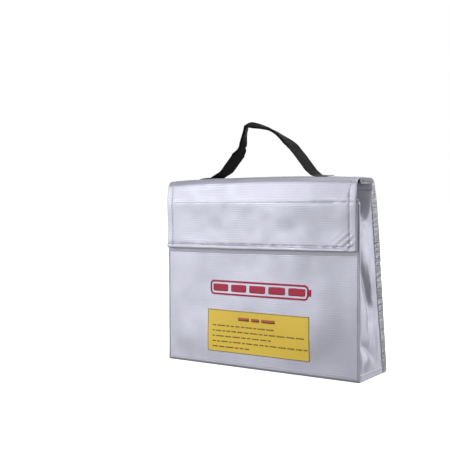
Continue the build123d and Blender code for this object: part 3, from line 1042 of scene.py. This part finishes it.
inside_low, inside_high = mark_low.x + LINE, body_right - LINE
pitch = (inside_high - inside_low) / CELLS
shapes = [ring_strip((mark_low.x, mark_low.z), (body_right, mark_high.z), 2.5 * LINE, LINE)]
shapes.append(rectangle(body_right, mark_high.x, middle_z - NUB_H / 2, middle_z + NUB_H / 2, 0.0015))
for k in range(CELLS):
    shapes.append(
        soft_cell(
            inside_low + pitch * k + LINE, inside_low + pitch * (k + 1) - LINE,
            mark_low.z + 2 * LINE, mark_high.z - 2 * LINE,
        )
    )
mark = flat_shapes("battery_mark_print", shapes, 0.00018, 0.00016, RED)
fit(mark, with_bag, "red_print", "battery_mark")

# ==== Handle ====
left_end, right_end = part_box("left_handle_anchor")[0].x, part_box("right_handle_anchor")[1].x
WEB, WEB_HALF = 0.0012, 0.0131     # thickness and half width of the webbing
SUNK = TOP_Z - 0.0009        # the sewn ends press the top down to here
route = [
    (left_end, SUNK), (-0.0700, SUNK + 0.0001), (-0.0650, TOP_Z - 0.0002), (-0.0608, TOP_Z + 0.0018),
    (-0.0521, 0.2115), (-0.0430, 0.2213), (-0.0348, 0.2303), (-0.0303, 0.2352), (-0.0289, 0.2410),
    (-0.0272, 0.2507), (-0.0250, 0.2588), (-0.0238, 0.2624), (-0.0200, 0.2632), (-0.0145, 0.2620),
    (-0.0076, 0.2604), (0.0014, 0.2578), (0.0104, 0.2542), (0.0175, 0.2500), (0.0273, 0.2430),
    (0.0330, 0.2380), (0.0421, 0.2285), (0.0455, 0.2243), (0.0528, 0.2153), (0.0592, TOP_Z + 0.0034),
    (0.0622, TOP_Z + 0.0008), (0.0700, SUNK + 0.0001), (right_end, SUNK),
]


def through(points, per=14):
    """A smooth line through all the points."""
    points = np.array(points, float)
    padded = np.concatenate([[2 * points[0] - points[1]], points, [2 * points[-1] - points[-2]]])
    result = []
    for k in range(len(points) - 1):
        p0, p1, p2, p3 = padded[k : k + 4]
        t1 = np.linalg.norm(p1 - p0) ** 0.5
        t2 = t1 + np.linalg.norm(p2 - p1) ** 0.5
        t3 = t2 + np.linalg.norm(p3 - p2) ** 0.5
        for t in np.linspace(t1, t2, per, endpoint=False):
            a1 = p0 * (t1 - t) / t1 + p1 * t / t1
            a2 = p1 * (t2 - t) / (t2 - t1) + p2 * (t - t1) / (t2 - t1)
            a3 = p2 * (t3 - t) / (t3 - t2) + p3 * (t - t2) / (t3 - t2)
            b1 = a1 * (t2 - t) / t2 + a2 * t / t2
            b2 = a2 * (t3 - t) / (t3 - t1) + a3 * (t - t1) / (t3 - t1)
            result.append(b1 * (t2 - t) / (t2 - t1) + b2 * (t - t1) / (t2 - t1))
    return np.array(result + [points[-1]])


def folded_section(crease, across=17):
    """Section of webbing turned under in front of a crease, from -1 at its front edge to 0 at its middle."""
    q = np.linspace(1, -1, 2 * across + 1)
    bend = 0.13
    angle = -math.pi * (1 - smooth(q, crease - bend, crease + bend))
    step = (q[0] - q[1]) * WEB_HALF
    b, n = np.cumsum(np.cos(angle)) * step, np.cumsum(np.sin(angle)) * step
    b -= (b.max() + b.min()) / 2
    n -= (n.max() + n.min()) / 2
    half = WEB / 2 * (1 - np.abs(q) ** 24) ** 0.5
    normal = np.stack([-np.sin(angle), np.cos(angle)], -1)
    middle = np.stack([b, n], -1)
    return np.concatenate([middle + normal * half[:, None], (middle - normal * half[:, None])[::-1]])


line = through(route)
tangent = unit(np.gradient(line, axis=0))
x, z = line[:, 0], line[:, 1]
# the webbing is folded double along the grip; at the left the fold opens sharply, at the right slowly
left_fold = smooth(z, 0.2270, 0.2420)
right_fold = 1 - smooth(x, 0.0060, 0.0430)
crease_at = -1.15 + 1.15 * np.where(x < 0, left_fold, right_fold)
roll = math.radians(20) * smooth(z, 0.240, 0.256) * (1 - smooth(x, -0.016, 0.006))
roll -= math.radians(8) * smooth(x, 0.000, 0.008) * (1 - smooth(x, 0.014, 0.030))
across = np.tile([0, -1.0, 0], (len(line), 1))
out = np.stack([-tangent[:, 1], 0 * x, tangent[:, 0]], -1)
cos, sin = np.cos(roll)[:, None], np.sin(roll)[:, None]
across, out = across * cos - out * sin, out * cos + across * sin
sections = np.array([folded_section(crease) for crease in crease_at])
lifted = z + crown(x) * (1 - smooth(z, TOP_Z + 0.001, TOP_Z + 0.010))
centres = np.stack([x, np.full(len(line), HANDLE_Y), lifted + WEB / 2], -1)
handle = bar("handle_webbing", centres, across, out, sections[:, ::-1], WEBBING)
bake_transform(handle)
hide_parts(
    "handle_grip", "left_handle_riser", "right_handle_riser", "left_handle_anchor", "right_handle_anchor",
)

# ==== Stitching ====


def sew(name, rows, radius, material, move, slot):
    """One piece of stitching from several rows of (starts, ends, normals)."""
    starts, ends, normals = (np.concatenate(parts) for parts in zip(*rows))
    fit(stitches(name, starts, ends, normals, radius, material), move, slot)


def outward(rows):
    """Turn each row's normals away from the middle of the bag."""
    turned = []
    for starts, ends, normals in rows:
        away = (starts - np.array([0, 0, 0.09])) * np.array([1.0, 3.0, 1.0])
        turned.append((starts, ends, normals * np.sign(np.sum(away * normals, axis=-1, keepdims=True))))
    return turned


def outer_face(x, t):
    return long_cloth(x, t, 0.0)


FLAP_SIDES = FLAP_LEFT + SIDE_IN, FLAP_RIGHT - SIDE_IN
rows = [line_row(outer_face, (x, T_REAR_A - 0.002), (x, T_SPLIT - 0.001), seed=70) for x in FLAP_SIDES]
sew("flap_top_side_stitches", outward(rows), 0.00036, WHITE_THREAD, bend_rear, "silver_cloth")
rows = [line_row(outer_face, (x, T_SPLIT + 0.001), (x, T_END - 0.004), seed=71) for x in FLAP_SIDES]
for t, inset, seed in ((T_END - HEM_IN, 0.004, 69), (T_KNEE, HEM, 72)):
    rows.append(line_row(outer_face, (FLAP_LEFT + inset, t), (FLAP_RIGHT - inset, t), seed=seed))
sew("flap_front_stitches", outward(rows), 0.00036, WHITE_THREAD, bend_front, "silver_cloth")


def strip_face(x, t):
    return long_cloth(x, t, STRIP_OUT)


rows = [
    line_row(strip_face, (0.002 - WALL_HALF, t), (WALL_HALF - 0.002, t), seed=74)
    for t in t_on_front([TAPE[0] + 0.0015, TAPE[1] - 0.0015]).tolist()
]
sew("loop_strip_stitches", outward(rows), 0.00024, WHITE_THREAD, with_bag, "loop_tape")

def zigzag(side, word):
    """Overlock over the rear band: a zigzag across it, and a chain along each side of it."""
    def on_band(v, t):
        """v is the share across the band, 0 at its outer edge and 1 at its inner edge."""
        middle, normal, width = band_at(side, t)
        across = np.stack([0 * t, normal[..., 0], normal[..., 1]], -1)
        point = middle + across * (width * (0.5 - v))[..., None]
        point[..., 0] += side * (BAND_THICK / 2 + 0.00005)
        return point

    step = 0.0024
    low = np.arange(T_BAND[0] + 0.001, T_BAND[-1] - step, step)
    jitter = np.random.default_rng(80 + side)
    near = 0.10 + jitter.uniform(-0.06, 0.06, len(low))
    far = 0.84 + jitter.uniform(-0.10, 0.06, len(low))
    halfway = low + step * jitter.uniform(0.35, 0.65, len(low))
    a, b, c = on_band(near, low), on_band(far, halfway), on_band(np.roll(near, -1), low + step)
    normal = np.tile([float(side), 0, 0], (len(low), 1))
    outer, inner = (
        (on_band(0 * low + v, low), on_band(0 * low + v, low + step * 0.75), normal) for v in (0.06, 0.90)
    )
    sew(f"{word}_overlock_thread", [(a, b, normal), inner], 0.00030, PALE_THREAD, bend_rear, "overlock_seam")
    sew(f"{word}_overlock_looper", [(b, c, normal), outer], 0.00030, GREY_THREAD, bend_rear, "overlock_seam")


for side, word in SIDES:
    def on_hem(s, z, side=side):
        return gusset(side, s, z) + np.array([side * 0.0007, 0, 0])

    rows = [
        line_row(on_hem, (0.05, 0.0052), (0.97, 0.0052), length=0.0024, seed=75),
        line_row(on_hem, (0.05, MOUTH_Z - 0.0055), (0.97, MOUTH_Z - 0.0055), seed=76),
    ]
    sew(f"{word}_gusset_hem_stitches", outward(rows), 0.00026, WHITE_THREAD, with_bag, "silver_cloth")
    zigzag(side, word)


def on_anchor(x, y):
    return np.stack([x, y, SUNK + crown(x) + 1.5 * WEB + 0.00002], -1)


def lining_face(x, t):
    return long_cloth(x, t, UNDER - LINING)


def box_and_cross(name, surface, corners, way, pitch, length, seed, radius, slot):
    """Stitches round a box and across it; way is 1 for an upper face and -1 for an under face."""
    pairs = [*zip(corners, corners[1:] + corners[:1]), (corners[0], corners[2]), (corners[1], corners[3])]
    rows = [line_row(surface, a, b, pitch, length, seed) for a, b in pairs]
    rows = [(starts, ends, np.abs(normals) * [0, 0, way]) for starts, ends, normals in rows]
    sew(name, rows, radius, GREY_THREAD, with_top, slot)


# the sewn-down ends of the handle: the same box shows on the webbing and on the lining under it
for side, word in SIDES:
    x0, x1 = sorted((side * 0.0655, side * (abs(left_end) - 0.0018)))
    y0, y1 = HANDLE_Y - WEB_HALF + 0.0022, HANDLE_Y + WEB_HALF - 0.0022
    corners = [(x0, y0), (x1, y0), (x1, y1), (x0, y1)]
    box_and_cross(f"{word}_anchor_stitches", on_anchor, corners, 1.0, 0.0026, 0.0020, 90, 0.00030, "webbing")
    below = [(x, T_REAR_B + float(path_at(T_REAR_B)[0][0]) - y) for x, y in corners]
    name = f"{word}_anchor_lining_stitches"
    box_and_cross(name, lining_face, below, -1.0, 0.0034, 0.0024, 92, 0.00036, "fibre_lining")

# ==== Floor, lights and camera ====
bpy.ops.mesh.primitive_plane_add(size=30, location=(0, 0, 0))
floor = bpy.context.object
floor.name = "floor"
floor.data.materials.append(
    Nodes("pale_floor").finish(
        Base_Color=(0.93, 0.93, 0.93), Roughness=0.9, Specular_IOR_Level=0.1,
        Emission_Color=(1.0, 1.0, 1.0), Emission_Strength=0.48,
    )
)
floor.visible_diffuse = floor.visible_glossy = False      # the bag takes its light from the lamps

world = bpy.data.worlds.new("studio")
bpy.context.scene.world = world
world.use_nodes = True
tree = world.node_tree
seen = tree.nodes["Background"]
seen.inputs["Color"].default_value = (1, 1, 1, 1)
seen.inputs["Strength"].default_value = 1.0
fill = tree.nodes.new("ShaderNodeBackground")
fill.inputs["Color"].default_value = (0.97, 0.98, 1.0, 1)
fill.inputs["Strength"].default_value = 0.28
rays = tree.nodes.new("ShaderNodeLightPath")
either = tree.nodes.new("ShaderNodeMixShader")
tree.links.new(rays.outputs["Is Camera Ray"], either.inputs[0])
tree.links.new(fill.outputs[0], either.inputs[1])
tree.links.new(seen.outputs[0], either.inputs[2])
tree.links.new(either.outputs[0], tree.nodes["World Output"].inputs["Surface"])


def point_at(light, place, aim):
    light.location = place
    light.rotation_euler = (Vector(aim) - Vector(place)).to_track_quat("-Z", "Y").to_euler()
    bpy.context.scene.collection.objects.link(light)


def area_light(name, place, aim, size, power):
    data = bpy.data.lights.new(name, "AREA")
    data.shape, data.size, data.energy = "DISK", size, power
    point_at(bpy.data.objects.new(name, data), place, aim)


def sun_light(name, place, strength, softness):
    data = bpy.data.lights.new(name, "SUN")
    data.energy, data.angle = strength, math.radians(softness)
    point_at(bpy.data.objects.new(name, data), place, (0, 0, 0))


area_light("key", (-0.66, -0.97, 0.54), (0, 0, 0.17), 0.50, 3.2)
area_light("front", (-0.80, -1.05, 0.10), (0, 0, 0.07), 1.0, 5.6)
area_light("side", (0.85, 0.60, 0.36), (0.1, 0, 0.08), 1.70, 12.0)
area_light("back", (-0.50, 1.20, 0.45), (0, 0, 0.10), 1.0, 8.0)
sun_light("overhead", (0.08, -0.22, 0.95), 1.80, 40)

camera_data = bpy.data.cameras.new("camera")
camera_data.sensor_width = 36.0
camera_data.lens = 65.91
camera_data.clip_start, camera_data.clip_end = 0.01, 50
camera = bpy.data.objects.new("camera", camera_data)
bpy.context.scene.collection.objects.link(camera)
bpy.context.scene.camera = camera
azimuth, elevation, tilt = math.radians(34.75), math.radians(2.01), math.radians(-0.58)
aim, distance = Vector((-0.0622, 0.0, 0.1532)), 0.9368
back = Vector(
    (math.sin(azimuth) * math.cos(elevation), -math.cos(azimuth) * math.cos(elevation), math.sin(elevation))
)
right = Vector((math.cos(azimuth), math.sin(azimuth), 0))
up = back.cross(right)
turned_right = right * math.cos(tilt) + up * math.sin(tilt)
turned_up = up * math.cos(tilt) - right * math.sin(tilt)
camera.matrix_world = Matrix.Translation(aim + back * distance) @ Matrix(
    (turned_right, turned_up, back)
).transposed().to_4x4()

bpy.context.scene.view_settings.view_transform = "Standard"
